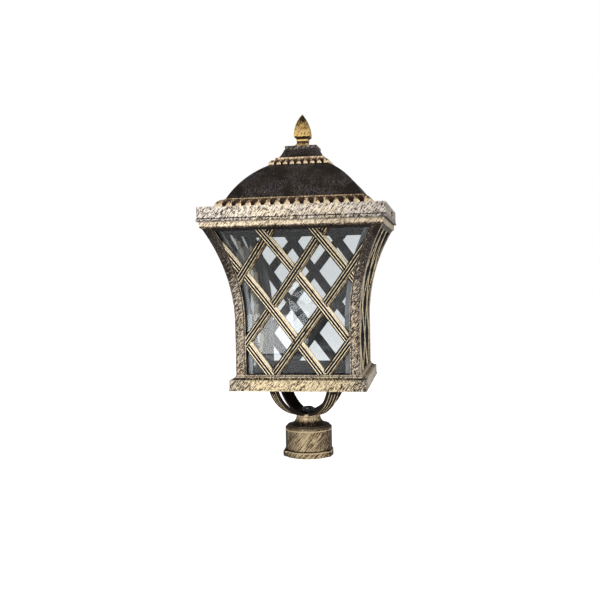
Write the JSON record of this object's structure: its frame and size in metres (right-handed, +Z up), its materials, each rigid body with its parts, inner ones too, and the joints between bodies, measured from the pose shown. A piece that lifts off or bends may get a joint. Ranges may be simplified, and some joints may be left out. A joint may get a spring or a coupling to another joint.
{
  "type": "post top lantern",
  "caption": "Post top lantern with a flared square cage of woven lattice panels over bent clear panes, a square domed roof, a spear finial and a four armed foot on a round post fitter.",
  "frame": {"origin": "centre of the post fitter's foot, at the bottom of the part", "axes": "+Z up along the post's axis, -Y towards the front panel, +X to the right seen from the front"},
  "size_m": [0.309, 0.309, 0.5985],
  "materials": {
    "cast_bronze": "cast, painted antique bronze with brushed gold highlights",
    "mill_aluminium": "mill finish",
    "clear_glass": "clear, bent",
    "zinc_steel": "zinc plated",
    "bronze_screw": "painted antique bronze",
    "black_screw": "black oxide",
    "black_nut": "painted black",
    "black_rubber": "moulded",
    "black_plastic": "moulded",
    "ceramic": null,
    "brass": "plain"
  },
  "bodies": {
    "root": {"roof_casting": "cast_bronze", "finial": "cast_bronze", "finial_screw": "zinc_steel", "roof_screws": "bronze_screw", "top_frame": "cast_bronze", "frame_screws": "zinc_steel", "panel_front": "cast_bronze", "panel_right": "cast_bronze", "panel_back": "cast_bronze", "panel_left": "cast_bronze", "glass_front": "clear_glass", "glass_right": "clear_glass", "glass_back": "clear_glass", "glass_left": "clear_glass", "corner_strips": "mill_aluminium", "base_tray": "cast_bronze", "tray_screws": "zinc_steel", "inlet_grommet": "black_rubber", "arm_spider": "cast_bronze", "arm_screws": "zinc_steel", "post_fitter": "cast_bronze", "hollow_stud": "zinc_steel", "gland_nut": "black_nut", "lower_nut": "zinc_steel", "stud_bush": "black_plastic", "set_screws": "black_screw", "lamp_strap": "zinc_steel", "strap_screws": "zinc_steel", "lamp_holder": "ceramic", "holder_screws": "zinc_steel", "screw_shell": "brass", "centre_contact": "brass", "terminal_block": "ceramic", "terminal_screws": "brass", "earth_screw": "brass"}
  },
  "joints": []
}
